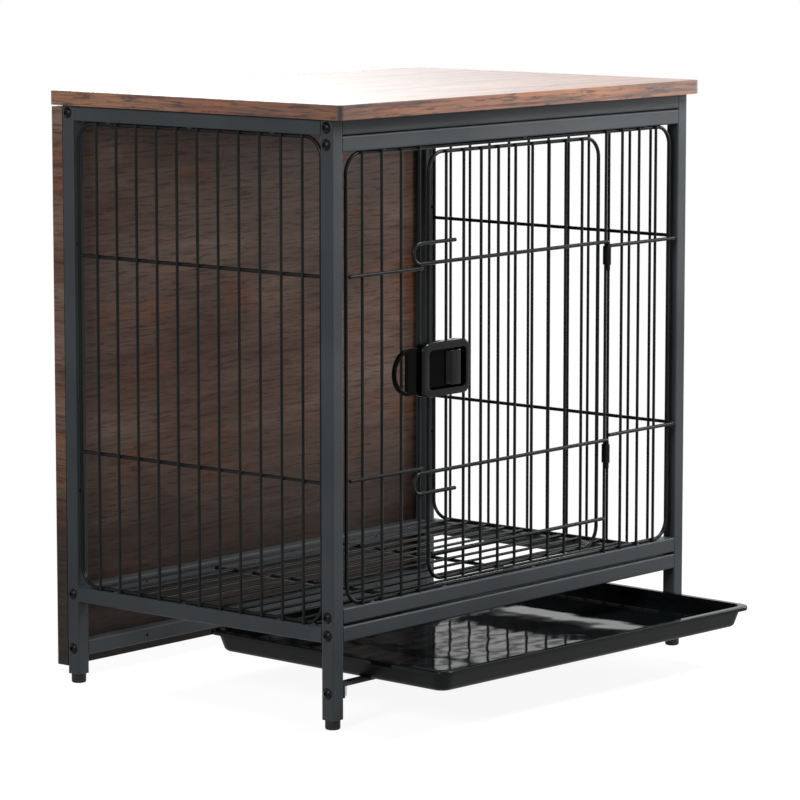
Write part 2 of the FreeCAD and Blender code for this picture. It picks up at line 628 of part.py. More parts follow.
def latch_slider():
    name = "latch_slider"
    mid, radius = LATCH_MID, "dims.loopRadius"
    centre = "(%s + dims.loopLeft + %s)" % (OPENING_LEFT, radius)
    inner = "(%s - dims.loopBand)" % radius
    grip_left = "(%s + dims.gripLeft)" % OPENING_LEFT
    plate_right = "(%s + dims.gripRight)" % OPENING_LEFT
    disc = rod(name + "_disc", "2 * " + radius, "dims.slidePlate", "y", centre, SLIDE_FRONT, mid)
    tail = block(name + "_tail", centre, plate_right, SLIDE_FRONT, SLIDE_REAR,
                 "%s - %s" % (mid, radius), "%s + %s" % (mid, radius))
    whole = joined(name + "_whole", [disc, tail])
    web = "(%s - dims.loopWeb)" % LATCH_LEFT
    hole = rod(name + "_hole", "2 * " + inner, "dims.slidePlate + 2", "y", centre,
               "%s - 1" % SLIDE_FRONT, mid)
    keep = block(name + "_keep", web, plate_right, "%s - 2" % SLIDE_FRONT,
                 "%s + 2" % SLIDE_REAR, "%s - %s" % (mid, radius), "%s + %s" % (mid, radius))
    opening = less(name + "_opening", hole, keep)
    plate = less(name + "_plate", whole, opening)
    grip = block(name + "_grip", grip_left, plate_right,
                 "%s - dims.gripRise" % SLIDE_FRONT, SLIDE_FRONT,
                 "%s - dims.gripTall / 2" % mid, "%s + dims.gripTall / 2" % mid)
    scoop = rod(name + "_scoop", "dims.gripTall * 2", "dims.gripTall + 2", "z",
                "%s - dims.gripTall * 0.62" % grip_left,
                "%s - dims.gripTall * 0.5" % SLIDE_FRONT,
                "%s - dims.gripTall / 2 - 1" % mid)
    grip = less(name + "_thumb", grip, scoop)
    neck = block(name + "_neck", NECK_LEFT, NECK_LEFT + " + dims.neckWidth",
                 SLIDE_REAR + " - 1", "%s + dims.barWire / 2 + dims.neckPast" % FRONT_BAR_Y,
                 "%s - dims.neckTall / 2" % mid, "%s + dims.neckTall / 2" % mid)
    finish(joined(name, [plate, grip, neck]), name)


def latch_back():
    name = "latch_back"
    owner = body(name)
    face = "(%s + dims.ringWire / 2 + dims.seatGap)" % DOOR_RING_Y
    outline = sketch(owner, name + "_outline", "XZ_Plane", "-(%s)" % face)
    rectangle(outline, "-%s - dims.ringWire / 2" % DOOR_HALF, LATCH_RIGHT,
              "%s - dims.backPlateTall / 2" % LATCH_MID,
              "%s + dims.backPlateTall / 2" % LATCH_MID)
    solid = pad(owner, name + "_pad", outline, "dims.backPlateThick")
    solid.Reversed = True
    doc.recompute()
    along_y = edges_where(solid, lambda e: e.BoundBox.YLength > 1)
    rounded(owner, name + "_corners", solid, along_y, "dims.latchCorner / 2")
    drill = sketch(owner, name + "_drill", "XZ_Plane")
    for sign in ("-", "+"):
        circle(drill, LATCH_SCREW_X, "%s %s dims.latchScrewZ" % (LATCH_MID, sign),
               "dims.latchScrew + 2 * dims.screwPlay")
    pocket(owner, name + "_holes", drill)
    finish(owner, name)


def latch_screws():
    seat = "(%s + dims.ringWire / 2 + dims.seatGap + dims.backPlateThick)" % DOOR_RING_Y
    tip = "(%s - dims.latchBase + dims.slidePlay)" % LATCH_REAR
    items = []
    for n, sign in enumerate(("-", "+")):
        z = "%s %s dims.latchScrewZ" % (LATCH_MID, sign)
        name = "latch_screw%d" % n
        shank = rod(name + "_shank", "dims.latchScrew", "%s - %s + 0.5" % (seat, tip), "y",
                    LATCH_SCREW_X, tip, z)
        head = rod(name + "_head", "dims.latchScrewHead", "dims.screwHeadTall", "y",
                   LATCH_SCREW_X, seat, z)
        items.append(joined(name, [shank, head]))
    finish(group("latch_screws", items), "latch_screws")


TRAY_HALF_X = "(%s - dims.traySideGap)" % CLEAR_X
TRAY_HALF_Y = "(%s - dims.trayEndGap)" % CLEAR_Y


def pan(name, inset, low, high):
    # A solid with leaning walls, rounded corners and a rounded foot.
    owner = body(name)
    half_x, half_y = "(%s - %s)" % (TRAY_HALF_X, inset), "(%s - %s)" % (TRAY_HALF_Y, inset)
    base = sketch(owner, name + "_base", "XY_Plane", low)
    rectangle(base, "-" + half_x, half_x, "-" + half_y, half_y)
    solid = pad(owner, name + "_pad", base, "%s - %s" % (high, low))
    solid.setExpression("TaperAngle", "atan(dims.wallLean / dims.trayHeight)")
    doc.recompute()
    upright_edges = edges_where(solid, lambda e: e.BoundBox.ZLength > 5)
    solid = rounded(owner, name + "_corners", solid, upright_edges, "dims.trayCorner")
    doc.recompute()
    floor = min(v.Z for v in solid.Shape.Vertexes)
    foot_edges = edges_where(solid, lambda e: e.CenterOfMass.z < floor + 0.01)
    rounded(owner, name + "_foot", solid, foot_edges, "dims.trayFoot")
    return owner


def tray():
    name = "tray"
    inset = "(dims.rimReach + dims.wallLean)"
    outside = pan(name + "_outside", inset, "0", "dims.trayHeight")
    inside = pan(name + "_inside", "(%s + dims.trayWall)" % inset, "dims.trayWall",
                 "(dims.trayHeight + dims.trayWall)")
    flange = body(name + "_flange")
    outline = sketch(flange, name + "_rim", "XY_Plane", "dims.trayHeight - dims.trayRim")
    rectangle(outline, "-" + TRAY_HALF_X, TRAY_HALF_X, "-" + TRAY_HALF_Y, TRAY_HALF_Y)
    solid = pad(flange, name + "_rim_pad", outline, "dims.trayRim")
    doc.recompute()
    solid = rounded(flange, name + "_rim_corners", solid, edges_where(solid, runs_along_z),
                    "dims.trayCorner")
    doc.recompute()
    top = SIZES["trayHeight"] - 0.01
    lip = edges_where(solid, lambda e: e.CenterOfMass.z > top)
    rounded(flange, name + "_rim_round", solid, lip, "dims.rimRound")
    shell = less(name, joined(name + "_solid", [outside, flange]), inside)
    shell.Placement.Rotation = Rotation(Vector(0, 0, 1), SIZES["trayTwist"])
    place(shell, "0", "dims.trayRide - %s" % HALF_D,
          "dims.lowRailCentre + dims.tubeSize / 2 + dims.trayGap")
    finish(shell, name)


def bolts():
    items = []
    for side, sign in (("l", -1), ("r", 1)):
        for end, heights in (("-", FRONT_BOLTS), ("", REAR_BOLTS)):
            for tag, z in heights.items():
                name = "bolt_%s_%s" % (side, tag)
                length = "dims.boltLength"
                if tag == "strip":
                    length = "dims.tubeSize + dims.stripThick + dims.boltSize"
                crown = "((dims.boltHead ^ 2 / 4 + dims.boltHeadTall ^ 2)" \
                    " / (2 * dims.boltHeadTall))"
                head = doc.addObject("Part::Sphere", name + "_head")
                head.setExpression("Radius", crown)
                head.setExpression("Angle1", "asin(1 - dims.boltHeadTall / %s)" % crown)
                head.setExpression("Placement.Base.z", "dims.boltHeadTall - " + crown)
                shank = doc.addObject("Part::Cylinder", name + "_shank")
                shank.setExpression("Radius", "dims.boltSize / 2")
                shank.setExpression("Height", length)
                shank.setExpression("Placement.Base.z", "-(%s)" % length)
                solid = joined(name + "_solid", [head, shank])
                hexagon = doc.addObject("Part::Prism", name + "_hex")
                hexagon.Polygon = 6
                hexagon.setExpression("Circumradius", "dims.hexAcross / sqrt(3)")
                hexagon.setExpression("Height", "dims.hexDeep + 1")
                hexagon.setExpression("Placement.Base.z", "dims.boltHeadTall - dims.hexDeep")
                bolt = less(name, solid, hexagon)
                bolt.Placement.Rotation = Rotation(Vector(0, 1, 0), 90 * sign)
                place(bolt, "%d * (%s + dims.seatGap)" % (sign, HALF_W), end + POST_Y, z)
                items.append(bolt)
    finish(group("frame_bolts", items), "frame_bolts")


def rail_nuts():
    items = []
    half = "(dims.tubeSize / 2 - dims.tubeWall - dims.nutGap)"
    for side, sign in (("l", "-"), ("r", "")):
        for end, heights in (("-", FRONT_BOLTS), ("", REAR_BOLTS)):
            for tag, z in heights.items():
                if tag == "strip":
                    continue
                name = "nut_%s_%s" % (side, tag)
                near = "%s(%s - dims.seatGap)" % (sign, CLEAR_X)
                far = "%s(%s - dims.nutLength)" % (sign, CLEAR_X)
                x0, x1 = (near, far) if sign else (far, near)
                y = end + POST_Y
                plug = block(name + "_plug", x0, x1, "%s - %s" % (y, half),
                             "%s + %s" % (y, half), "%s - %s" % (z, half),
                             "%s + %s" % (z, half))
                bore = rod(name + "_bore", "dims.boltSize + 2 * dims.threadPlay",
                           "dims.nutLength + 2", "x", "%s - 1" % x0, y, z)
                items.append(less(name, plug, bore))
    for side, sign in (("l", "-"), ("r", "")):
        name = "nut_%s_strip" % side
        near = "%s(%s - dims.stripThick - dims.seatGap)" % (sign, CLEAR_X)
        far = "%s(%s - dims.stripThick - dims.boltSize)" % (sign, CLEAR_X)
        x0, x1 = (near, far) if sign else (far, near)
        half_nut = "dims.boltSize * 0.85"
        y = "-" + POST_Y
        plug = block(name + "_plug", x0, x1, "%s - %s" % (y, half_nut),
                     "%s + %s" % (y, half_nut), "dims.lowRailCentre - %s" % half_nut,
                     "dims.lowRailCentre + %s" % half_nut)
        bore = rod(name + "_bore", "dims.boltSize + 2 * dims.threadPlay",
                   "dims.boltSize + 2", "x", "%s - 1" % x0, y, "dims.lowRailCentre")
        items.append(less(name, plug, bore))
    finish(group("rail_nuts", items), "rail_nuts")


def screw(name, axis, reach, x, y, z, head_x, head_y, head_z):
    return joined(name, [
        rod(name + "_shank", "dims.screwSize", reach, axis, x, y, z),
        rod(name + "_head", "dims.screwHead", "dims.screwHeadTall", axis,
            head_x, head_y, head_z),
    ])


def wood_screws():
    # Up through the side rails into the top, and in through the back board to the rails.
    items = []
    seat = "(dims.topUnderside - dims.tubeSize - dims.seatGap)"
    for side, sign in (("l", "-"), ("r", "")):
        for n in (-1, 0, 1):
            x, y = sign + TOP_SCREW_X, "%d * dims.topScrewPitch" % n
            items.append(screw("top_screw_%s%d" % (side, n + 1), "z",
                               "dims.tubeSize + dims.screwBite", x, y, seat,
                               x, y, "%s - dims.screwHeadTall" % seat))
    finish(group("tabletop_screws", items), "tabletop_screws")
    items = []
    tip = "(%s - dims.backScrewReach)" % HALF_D
    seat = "(%s + dims.backThick - dims.screwHeadTall - dims.screwSunk + dims.seatGap)" \
        % HALF_D
    for tag, z in REAR_BOLTS.items():
        for n in (-1, 1):
            x = "%d * dims.backScrewHalf" % n
            items.append(screw("back_screw_%s%d" % (tag, n + 1), "y",
                               "%s - %s" % (seat, tip), x, tip, z, x, seat, z))
    finish(group("back_panel_screws", items), "back_panel_screws")


for side in ("left", "right"):
    for end in ("front", "rear"):
        post(side, end)
        foot(side, end)
    side_rail("top_rail_" + side, side, TOP_RAIL, screws=True)
    side_rail("floor_rail_" + side, side, "dims.floorRailCentre")
cross_rail("front_top_rail", "front", TOP_RAIL)
cross_rail("door_top_rail", "front", SECOND_RAIL)
cross_rail("door_bottom_rail", "front", "dims.doorRailCentre")
cross_rail("front_floor_rail", "front", "dims.floorRailCentre")
cross_rail("rear_top_rail", "rear", TOP_RAIL, screws=True)
cross_rail("rear_floor_rail", "rear", "dims.floorRailCentre", screws=True)
cross_rail("rear_low_rail", "rear", "dims.lowRailCentre", screws=True)
tray_strip()
tabletop()
back_panel()
side_panel("left")
side_panel("right")
front_panel()
door()
hinge_clip("hinge_clip_upper", "armHigh")
hinge_clip("hinge_clip_lower", "armLow")
floor_grid()
latch_housing()
latch_slider()
latch_back()
latch_screws()
tray()
bolts()
rail_nuts()
wood_screws()

doc.recompute()

for item in doc.Objects:
    if "Invalid" in item.State or "Error" in item.State:
        raise RuntimeError("%s did not build: %s" % (item.Name, item.State))
for item in finished:
    shape = item.Shape
    if shape.isNull() or not shape.isValid() or not shape.Solids:
        raise RuntimeError("%s has no sound shape" % item.Label)
    print(item.Label, len(shape.Solids), round(shape.Volume, 1))
    shape.exportStep("parts/%s.step" % item.Label)
print("pieces:", len(finished))
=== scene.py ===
import bpy
import json
import math
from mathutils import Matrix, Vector

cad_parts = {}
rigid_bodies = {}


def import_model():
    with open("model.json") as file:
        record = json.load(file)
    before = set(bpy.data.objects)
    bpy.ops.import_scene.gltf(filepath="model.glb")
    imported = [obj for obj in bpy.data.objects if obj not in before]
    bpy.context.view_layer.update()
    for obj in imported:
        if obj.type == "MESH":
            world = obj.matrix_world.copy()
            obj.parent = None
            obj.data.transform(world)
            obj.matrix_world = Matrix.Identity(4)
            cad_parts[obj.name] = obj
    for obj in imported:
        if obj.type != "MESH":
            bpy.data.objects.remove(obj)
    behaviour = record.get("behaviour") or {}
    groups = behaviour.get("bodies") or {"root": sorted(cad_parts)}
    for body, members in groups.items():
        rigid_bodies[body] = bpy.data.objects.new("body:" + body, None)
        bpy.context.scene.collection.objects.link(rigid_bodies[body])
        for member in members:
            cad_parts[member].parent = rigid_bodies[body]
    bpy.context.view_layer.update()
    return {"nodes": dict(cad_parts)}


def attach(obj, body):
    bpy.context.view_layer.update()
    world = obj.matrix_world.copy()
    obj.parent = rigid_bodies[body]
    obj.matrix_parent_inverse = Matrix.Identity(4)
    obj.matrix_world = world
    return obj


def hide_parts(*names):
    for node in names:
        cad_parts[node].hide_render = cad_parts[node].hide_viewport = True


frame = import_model()
bpy.ops.object.select_all(action="DESELECT")

white = (1, 1, 1)
black = (0, 0, 0)

view = {"place": (-3.2636, -2.7960, 0.8742), "tilt": 82.252, "turn": -49.670, "lens": 180.4,
        "sensor": 36, "clipEnd": 60}


def setCamera():
    cameraData = bpy.data.cameras.new("photoCamera")
    camera = bpy.data.objects.new("photoCamera", cameraData)
    bpy.context.scene.collection.objects.link(camera)
    camera.location = view["place"]
    camera.rotation_euler = (math.radians(view["tilt"]), 0, math.radians(view["turn"]))
    cameraData.lens = view["lens"]
    cameraData.sensor_width = view["sensor"]
    cameraData.clip_end = view["clipEnd"]
    bpy.context.scene.camera = camera


def opaque(colour):
    return (*colour, 1)


def addNode(tree, kind, **values):
    node = tree.nodes.new(kind)
    for key, value in values.items():
        if hasattr(node, key):
            setattr(node, key, value)
        else:
            node.inputs[key].default_value = value
    return node


def feed(tree, node, *sources):
    # Links the sources to the node's first sockets in turn, and gives its first output.
    for source, socket in zip(sources, node.inputs):
        tree.links.new(source, socket)
    return node.outputs[0]


def mixShaders(tree, factor, first, second):
    return feed(tree, addNode(tree, "ShaderNodeMixShader"), factor, first, second)


def objectSpace(tree):
    return addNode(tree, "ShaderNodeTexCoord").outputs["Object"]


def mapRange(tree, value, spanFrom, spanTo, kind="LINEAR"):
    node = addNode(tree, "ShaderNodeMapRange", interpolation_type=kind)
    names = ("From Min", "From Max", "To Min", "To Max")
    for name, number in zip(names, (*spanFrom, *spanTo)):
        node.inputs[name].default_value = number
    return feed(tree, node, value)


studio = {
    "floorSize": 14, "floorHeight": -0.0005, "floorBounce": (0.34, 0.34, 0.34),
    "floorShade": (0.16, 0.16, 0.16), "floorGlow": 0.92, "shadeReach": (0.5, 0.95),
    "ambient": 0.09, "ambientColour": (0.97, 0.985, 1),
    "lamps": (
        # name, place, aim, size, watts
        ("keyLamp", (0.5, -0.85, 1.3), (0.0, -0.1, 0.6), 0.6, 26),
        ("rightLamp", (1.8, -0.75, 0.9), (-0.1, 0.15, 0.45), 0.8, 19),
        ("sideLamp", (-2.1, -0.6, 1.25), (-0.25, 0.0, 0.3), 0.8, 31),
        ("backLamp", (2.2, 2.6, 2.4), (0.0, 0.0, 0.4), 1.8, 60),
    ),
}


def showsBackdrop(tree):
    # 1 for camera, glossy and transmission rays, 0 for light that reaches the object
    path = addNode(tree, "ShaderNodeLightPath")
    shown = path.outputs["Is Camera Ray"]
    for ray in ("Is Glossy Ray", "Is Transmission Ray"):
        either = addNode(tree, "ShaderNodeMath", operation="MAXIMUM")
        shown = feed(tree, either, shown, path.outputs[ray])
    return shown


def setWorld():
    world = bpy.data.worlds.new("studioWorld")
    bpy.context.scene.world = world
    world.use_nodes = True
    tree = world.node_tree
    tree.nodes.clear()
    light = addNode(tree, "ShaderNodeBackground", Color=opaque(studio["ambientColour"]),
                    Strength=studio["ambient"])
    seen = addNode(tree, "ShaderNodeBackground", Color=opaque(white), Strength=1.0)
    mix = mixShaders(tree, showsBackdrop(tree), light.outputs[0], seen.outputs[0])
    tree.links.new(mix, addNode(tree, "ShaderNodeOutputWorld").inputs[0])


def floorMaterial():
    material = bpy.data.materials.new("studioFloor")
    material.use_nodes = True
    tree = material.node_tree
    tree.nodes.clear()
    bounce = addNode(tree, "ShaderNodeBsdfDiffuse", Color=opaque(studio["floorBounce"]))
    shade = addNode(tree, "ShaderNodeBsdfDiffuse", Color=opaque(studio["floorShade"]))
    glow = addNode(tree, "ShaderNodeEmission", Color=opaque(white),
                   Strength=studio["floorGlow"])
    sheet = addNode(tree, "ShaderNodeEmission", Color=opaque(white), Strength=1.0)
    near = feed(tree, addNode(tree, "ShaderNodeAddShader"), shade.outputs[0], glow.outputs[0])

    # Past the reach of the shadow the floor is as white as the backdrop.
    length = addNode(tree, "ShaderNodeVectorMath", operation="LENGTH")
    feed(tree, length, objectSpace(tree))
    reach = mapRange(tree, length.outputs["Value"], studio["shadeReach"], (0, 1),
                     "SMOOTHSTEP")
    seen = mixShaders(tree, reach, near, sheet.outputs[0])
    mix = mixShaders(tree, showsBackdrop(tree), bounce.outputs[0], seen)
    tree.links.new(mix, addNode(tree, "ShaderNodeOutputMaterial").inputs[0])
    return material


def setFloor():
    bpy.ops.mesh.primitive_plane_add(size=studio["floorSize"],
                                     location=(0, 0, studio["floorHeight"]))
    floor = bpy.context.object
    floor.name = "studioFloor"
    floor.data.materials.append(floorMaterial())


def setLamps():
    for name, place, aim, size, watts in studio["lamps"]:
        lampData = bpy.data.lights.new(name, "AREA")
        lampData.shape = "DISK"
        lampData.size = size
        lampData.energy = watts
        lamp = bpy.data.objects.new(name, lampData)
        bpy.context.scene.collection.objects.link(lamp)
        lamp.location = place
        towards = Vector(aim) - Vector(place)
        lamp.rotation_euler = towards.to_track_quat("-Z", "Y").to_euler()


bpy.context.scene.view_settings.view_transform = "Standard"
setCamera()
setWorld()
setFloor()
setLamps()
print("camera and studio set")


def newMaterial(name):
    material = bpy.data.materials.new(name)
    material.use_nodes = True
    tree = material.node_tree
    return material, tree, tree.nodes["Principled BSDF"]


def addNoise(tree, space, scale, detail, roughness=0.5, distortion=0.0):
    noise = addNode(tree, "ShaderNodeTexNoise", Scale=scale, Detail=detail,
                    Roughness=roughness, Distortion=distortion)
    return feed(tree, noise, space)


def colourRamp(tree, value, stops):
    ramp = addNode(tree, "ShaderNodeValToRGB")
    points = ramp.color_ramp.elements
    while len(points) < len(stops):
        points.new(0.5)
    for point, (position, colour) in zip(points, stops):
        point.position = position
        point.color = opaque(colour)
    return feed(tree, ramp, value)


def tint(tree, value, look):
    return colourRamp(tree, value, ((0.3, look["dark"]), (0.7, look["light"])))


def stretched(tree, space, squeeze):
    # Coordinates that draw a pattern out along X.
    mapping = addNode(tree, "ShaderNodeMapping", Scale=(1, squeeze, squeeze))
    return feed(tree, mapping, space)


def splitVector(tree, vector):
    parts = addNode(tree, "ShaderNodeSeparateXYZ")
    feed(tree, parts, vector)
    return parts.outputs


def addBump(tree, height, strength, depth):
    bump = addNode(tree, "ShaderNodeBump", Strength=strength, Distance=depth)
    tree.links.new(height, bump.inputs["Height"])
    return bump


def setSurface(tree, shader, look, colour, roughness, bump):
    tree.links.new(colour, shader.inputs["Base Color"])
    tree.links.new(roughness, shader.inputs["Roughness"])
    tree.links.new(bump.outputs[0], shader.inputs["Normal"])
    shader.inputs["Specular IOR Level"].default_value = look["gloss"]


paint = {
    "cloudDetail": 4, "peelDetail": 2, "peelDepth": 0.0002, "speckShare": 0.35,
    "speckDetail": 5, "speckRoughness": 0.7, "rubbedFrom": 0.66, "rubbedTo": 0.8,
    "tube": {"clouds": 7, "peel": 900, "dark": (0.029, 0.033, 0.036),
             "light": (0.047, 0.052, 0.056), "rubbed": (0.09, 0.095, 0.10),
             "roughness": (0.37, 0.51), "gloss": 0.12, "bump": 0.25},
    "wire": {"clouds": 14, "peel": 1200, "dark": (0.005, 0.006, 0.006),
             "light": (0.010, 0.011, 0.011), "rubbed": (0.03, 0.031, 0.031),
             "roughness": (0.17, 0.31), "gloss": 0.09, "bump": 0.2},
    "bolt": {"clouds": 60, "peel": 1500, "dark": (0.003, 0.0035, 0.004),
             "light": (0.007, 0.008, 0.009), "rubbed": (0.06, 0.06, 0.065),
             "roughness": (0.15, 0.29), "gloss": 0.09, "bump": 0.2},
}


def paintedSteel(name, look):
    # Powder coat: orange peel, faint cloudiness and a few rubbed places.
    material, tree, shader = newMaterial(name)
    space = objectSpace(tree)
    clouds = addNoise(tree, space, look["clouds"], paint["cloudDetail"])
    peel = addNoise(tree, space, look["peel"], paint["peelDetail"])
    specks = addNoise(tree, space, look["peel"] * paint["speckShare"], paint["speckDetail"],
                      paint["speckRoughness"])
    rubbed = colourRamp(tree, specks, ((paint["rubbedFrom"], black),
                                       (paint["rubbedTo"], white)))
    blend = addNode(tree, "ShaderNodeMix", data_type="RGBA")
    tree.links.new(rubbed, blend.inputs[0])
    tree.links.new(tint(tree, clouds, look), blend.inputs[6])
    blend.inputs[7].default_value = opaque(look["rubbed"])
    roughness = mapRange(tree, clouds, (0, 1), look["roughness"])
    bump = addBump(tree, peel, look["bump"], paint["peelDepth"])
    setSurface(tree, shader, look, blend.outputs[2], roughness, bump)
    return material


wood = {
    "layers": (
        # name, noise scale, detail, roughness, distortion, squeeze across the grain
        ("patches", 2.6, 5, 0.6, 0.9, 5),
        ("streaks", 6, 7, 0.68, 0.3, 30),
        ("pores", 30, 4, 0.62, 0, 11),
        ("knots", 9, 3, 0.6, 0, 2.4),
    ),
    "endFacing": 0.72, "joint": ((0.22, white), (0.40, (0.22, 0.15, 0.13))),
    # The heights below and each look's foot set painted shade: the colour darkens towards the
    # foot of the board.
    "paintedShadeHeights": (0.08, 0.34), "coatRoughness": 0.24, "poreDepth": 0.0004,
    "top": {"patches": ((0.30, (0.110, 0.040, 0.017)), (0.5, (0.180, 0.074, 0.034)),
                        (0.70, (0.275, 0.128, 0.062))),
            "streaks": ((0.36, (0.24, 0.18, 0.16)), (0.5, (0.86, 0.80, 0.77)),
                        (0.66, (1.35, 1.22, 1.10))),
            "pores": ((0.40, (0.26, 0.18, 0.16)), (0.48, white)),
            "knots": ((0.54, white), (0.72, (1.3, 0.92, 0.7))), "foot": 1.0,
            "roughness": (0.44, 0.24), "gloss": 0.4, "coat": 0.35, "bump": 0.12},
    "board": {"patches": ((0.30, (0.082, 0.042, 0.029)), (0.5, (0.130, 0.082, 0.062)),
                          (0.70, (0.185, 0.132, 0.108))),
              "streaks": ((0.34, (0.68, 0.62, 0.59)), (0.5, (0.94, 0.92, 0.91)),
                          (0.68, (1.18, 1.13, 1.10))),
              "pores": ((0.40, (0.56, 0.48, 0.45)), (0.48, white)),
              "knots": ((0.54, white), (0.72, (1.3, 0.86, 0.62))), "foot": 0.17,
              "roughness": (0.58, 0.38), "gloss": 0.15, "coat": 0.0, "bump": 0.12},
}


def woodSpace(tree):
    # Grain runs along X, and along Y on the end faces. The second result is 0 on a face
    # along X or Y, and highest on the middle of a rounded upright corner.
    spot = addNode(tree, "ShaderNodeTexCoord")
    place = splitVector(tree, spot.outputs["Object"])
    facing = splitVector(tree, spot.outputs["Normal"])
    turned = feed(tree, addNode(tree, "ShaderNodeCombineXYZ"), place["Y"], place["X"],
                  place["Z"])
    sides = [feed(tree, addNode(tree, "ShaderNodeMath", operation="ABSOLUTE"), facing[axis])
             for axis in ("X", "Y")]
    isEnd = addNode(tree, "ShaderNodeMath", operation="GREATER_THAN")
    isEnd.inputs[1].default_value = wood["endFacing"]
    space = addNode(tree, "ShaderNodeMix", data_type="VECTOR")
    tree.links.new(feed(tree, isEnd, sides[0]), space.inputs[0])
    tree.links.new(spot.outputs["Object"], space.inputs[4])
    tree.links.new(turned, space.inputs[5])
    corner = feed(tree, addNode(tree, "ShaderNodeMath", operation="MULTIPLY"), *sides)
    return space.outputs[1], corner


def multiply(tree, first, second):
    blend = addNode(tree, "ShaderNodeMix", data_type="RGBA", blend_type="MULTIPLY")
    blend.inputs[0].default_value = 1.0
    tree.links.new(first, blend.inputs[6])
    tree.links.new(second, blend.inputs[7])
    return blend.outputs[2]


def woodLaminate(name, look):
    # Rustic walnut print: patchy colour, wandering streaks and short dark pores.
    material, tree, shader = newMaterial(name)
    space, corner = woodSpace(tree)
    noises = {}
    tones = []
    for layer, scale, detail, roughness, distortion, squeeze in wood["layers"]:
        noises[layer] = addNoise(tree, stretched(tree, space, squeeze), scale, detail,
                                 roughness, distortion)
        tones.append(colourRamp(tree, noises[layer], look[layer]))
    tones.append(colourRamp(tree, corner, wood["joint"]))
    # Painted shade: the colour is darkened towards the foot of the board, where less light
    # reaches.
    tones.append(mapRange(tree, splitVector(tree, space)["Z"], wood["paintedShadeHeights"],
                          (look["foot"], 1), "SMOOTHSTEP"))
    colour = tones[0]
    for tone in tones[1:]:
        colour = multiply(tree, colour, tone)
    roughness = mapRange(tree, noises["streaks"], (0, 1), look["roughness"])
    bump = addBump(tree, noises["pores"], look["bump"], wood["poreDepth"])
    setSurface(tree, shader, look, colour, roughness, bump)
    shader.inputs["Coat Weight"].default_value = look["coat"]
    shader.inputs["Coat Roughness"].default_value = wood["coatRoughness"]
    return material


plastic = {
    "cloudDetail": 3, "scuffShare": 9, "scuffDetail": 6, "scuffRoughness": 0.75,
    "scuffSpan": (0.35, 0.7), "grainDetail": 3, "grainDepth": 0.0003, "waveDetail": 1.5,
    "sinkDepth": 0.004, "mattFacing": (-0.2, -0.05),
    "latch": {"clouds": 30, "grain": 1800, "waves": 60, "dark": (0.0022, 0.0026, 0.0026),
              "light": (0.0045, 0.0052, 0.0052), "roughness": (0.07, 0.13),
              "gloss": 0.14, "bump": 0.03, "sinks": 0.05},
    # The slider's plate: the latch plastic with a darker colour, painted shade for the recess
    # it sits in.
    "slide": {"clouds": 30, "grain": 1500, "waves": 50, "dark": (0.0007, 0.0007, 0.0008),
              "light": (0.0014, 0.0014, 0.0016), "roughness": (0.07, 0.12),
              "gloss": 0.03, "bump": 0.03, "sinks": 0.03},
    "foot": {"clouds": 40, "grain": 1500, "waves": 80, "dark": (0.008, 0.0085, 0.009),
             "light": (0.015, 0.0155, 0.016), "roughness": (0.5, 0.7),
             "gloss": 0.2, "bump": 0.2, "sinks": 0.02},
    "tray": {"clouds": 6, "grain": 1400, "waves": 18, "dark": (0.0016, 0.0022, 0.0024),
             "light": (0.0032, 0.0042, 0.0046), "roughness": (0.02, 0.05),
             "gloss": 0.12, "bump": 0.02, "sinks": 0.14, "outside": 0.4},
}


def mattOutside(tree, roughness, added):
    # The faces that lean down, outside the mould's polished half, are matt.
    spot = addNode(tree, "ShaderNodeTexCoord")
    facing = splitVector(tree, spot.outputs["Normal"])
    matt = mapRange(tree, facing["Z"], plastic["mattFacing"], (added, 0))
    return feed(tree, addNode(tree, "ShaderNodeMath", operation="ADD"), roughness, matt)


def mouldedPlastic(name, look):
    material, tree, shader = newMaterial(name)
    space = objectSpace(tree)
    clouds = addNoise(tree, space, look["clouds"], plastic["cloudDetail"])
    scuffs = addNoise(tree, space, look["clouds"] * plastic["scuffShare"],
                      plastic["scuffDetail"], plastic["scuffRoughness"])
    grain = addNoise(tree, space, look["grain"], plastic["grainDetail"])
    waves = addNoise(tree, space, look["waves"], plastic["waveDetail"])
    roughness = mapRange(tree, scuffs, plastic["scuffSpan"], look["roughness"])
    if "outside" in look:
        roughness = mattOutside(tree, roughness, look["outside"])

    # Slow sink marks under the fine mould grain.
    sinks = addBump(tree, waves, look["sinks"], plastic["sinkDepth"])
    fine = addBump(tree, grain, look["bump"], plastic["grainDepth"])
    tree.links.new(sinks.outputs[0], fine.inputs["Normal"])
    setSurface(tree, shader, look, tint(tree, clouds, look), roughness, fine)
    return material


steel = {"lines": 60, "lineDetail": 5, "squeeze": 8, "dark": (0.42, 0.42, 0.43),
         "light": (0.66, 0.66, 0.67), "roughness": (0.27, 0.47), "gloss": 0.5,
         "bump": 0.15, "lineDepth": 0.0002}


def bareSteel(name, look):
    # Zinc-plated hardware with a faint turned grain.
    material, tree, shader = newMaterial(name)
    lines = addNoise(tree, stretched(tree, objectSpace(tree), look["squeeze"]),
                     look["lines"], look["lineDetail"])
    roughness = mapRange(tree, lines, (0, 1), look["roughness"])
    bump = addBump(tree, lines, look["bump"], look["lineDepth"])
    setSurface(tree, shader, look, tint(tree, lines, look), roughness, bump)
    shader.inputs["Metallic"].default_value = 1.0
    return material


tubePaint = paintedSteel("tubePaint", paint["tube"])
wirePaint = paintedSteel("wirePaint", paint["wire"])
boltBlack = paintedSteel("boltBlack", paint["bolt"])
topWood = woodLaminate("topWood", wood["top"])
boardWood = woodLaminate("boardWood", wood["board"])
latchPlastic = mouldedPlastic("latchPlastic", plastic["latch"])
slideShadedPlastic = mouldedPlastic("slideShadedPlastic", plastic["slide"])
footPlastic = mouldedPlastic("footPlastic", plastic["foot"])
trayPlastic = mouldedPlastic("trayPlastic", plastic["tray"])
zincSteel = bareSteel("zincSteel", steel)

